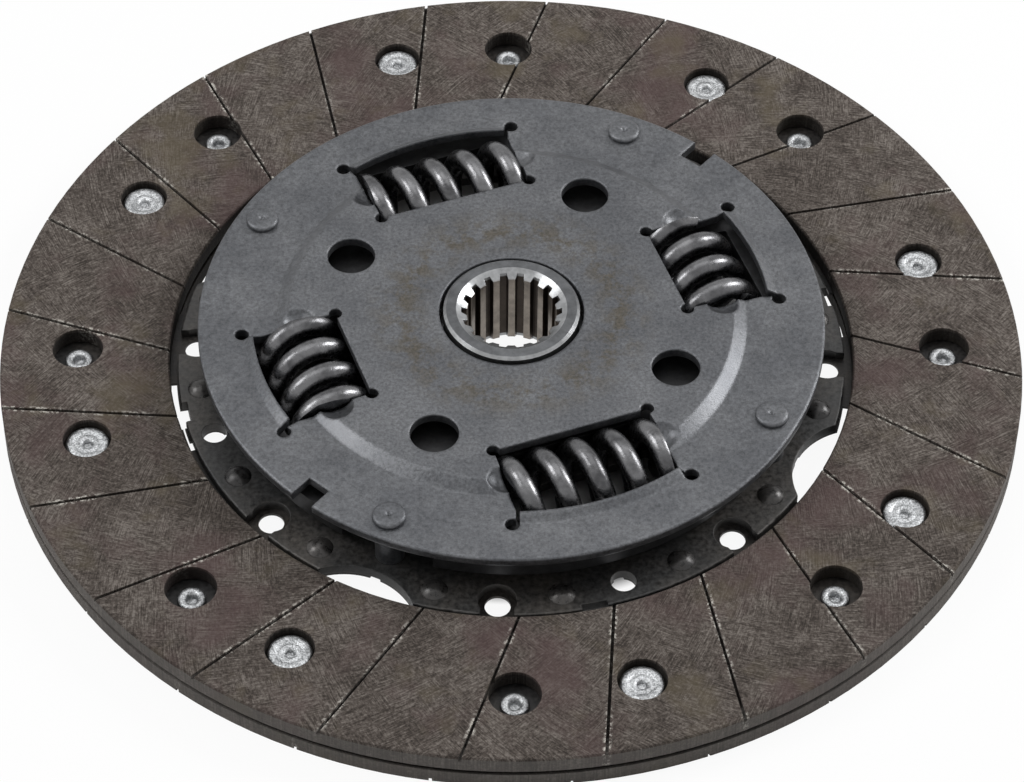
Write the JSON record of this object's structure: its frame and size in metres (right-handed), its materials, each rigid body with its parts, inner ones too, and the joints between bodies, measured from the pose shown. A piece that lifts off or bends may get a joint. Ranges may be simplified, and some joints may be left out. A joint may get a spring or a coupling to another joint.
{
  "type": "clutch disc",
  "caption": "Round clutch driven plate with grooved, riveted friction facings and a splined hub that twists a few degrees against coil springs.",
  "frame": {"origin": "on the disc's axis, at the friction face of the rear facing, which it lies on", "axes": "+Z along the disc's axis towards the cover plate; +X is an ordinary radius between rivets"},
  "size_m": [0.2, 0.2, 0.02],
  "materials": {
    "friction_lining": "matt brown-grey friction lining of fibre and resin",
    "facing_rivet": "bright zinc-plated tubular rivets",
    "segment_steel": "dark blued spring steel",
    "drive_plate_steel": "dark phosphated sheet steel",
    "dark_rivet": "dark domed steel rivets",
    "cover_steel": "matt blue-grey nitrided sheet steel",
    "pin_steel": "grey steel pins",
    "coil_steel": "satin grey shot-peened spring wire",
    "hub_steel": "grey forged steel with bright machined edges",
    "bush_plastic": "black moulded plastic",
    "spring_steel": "blued spring steel"
  },
  "bodies": {
    "driven_plate": {"front_facing": "friction_lining", "rear_facing": "friction_lining", "front_facing_rivets": "facing_rivet", "rear_facing_rivets": "facing_rivet", "cushion_segment_1": "segment_steel", "cushion_segment_2": "segment_steel", "cushion_segment_3": "segment_steel", "cushion_segment_4": "segment_steel", "cushion_segment_5": "segment_steel", "cushion_segment_6": "segment_steel", "cushion_segment_7": "segment_steel", "cushion_segment_8": "segment_steel", "drive_plate": "drive_plate_steel", "segment_rivets": "dark_rivet", "cover_plate": "cover_steel", "stop_pins": "pin_steel", "guide_bush": "bush_plastic", "friction_ring": "bush_plastic", "friction_washer": "bush_plastic", "disc_spring": "spring_steel"},
    "hub": {"hub": "hub_steel"},
    "damper_springs": {"long_spring_1": "coil_steel", "long_spring_2": "coil_steel", "short_spring_1": "coil_steel", "short_spring_2": "coil_steel"}
  },
  "joints": [
    {"name": "hub_twist", "type": "hinge", "parent": "driven_plate", "child": "hub", "pos_m": [0, 0, 0.01065], "axis": [0, 0, 1], "range_deg": [-6, 6], "stiffness_Nm_per_rad": 10, "deforming": ["long_spring_1", "long_spring_2", "short_spring_1", "short_spring_2"]},
    {"name": "spring_float", "type": "hinge", "parent": "driven_plate", "child": "damper_springs", "pos_m": [0, 0, 0.01065], "axis": [0, 0, 1], "range_deg": [-3, 3]}
  ],
  "couplings": [
    {"joint": "spring_float", "follows": "hub_twist", "ratio": 0.5}
  ]
}
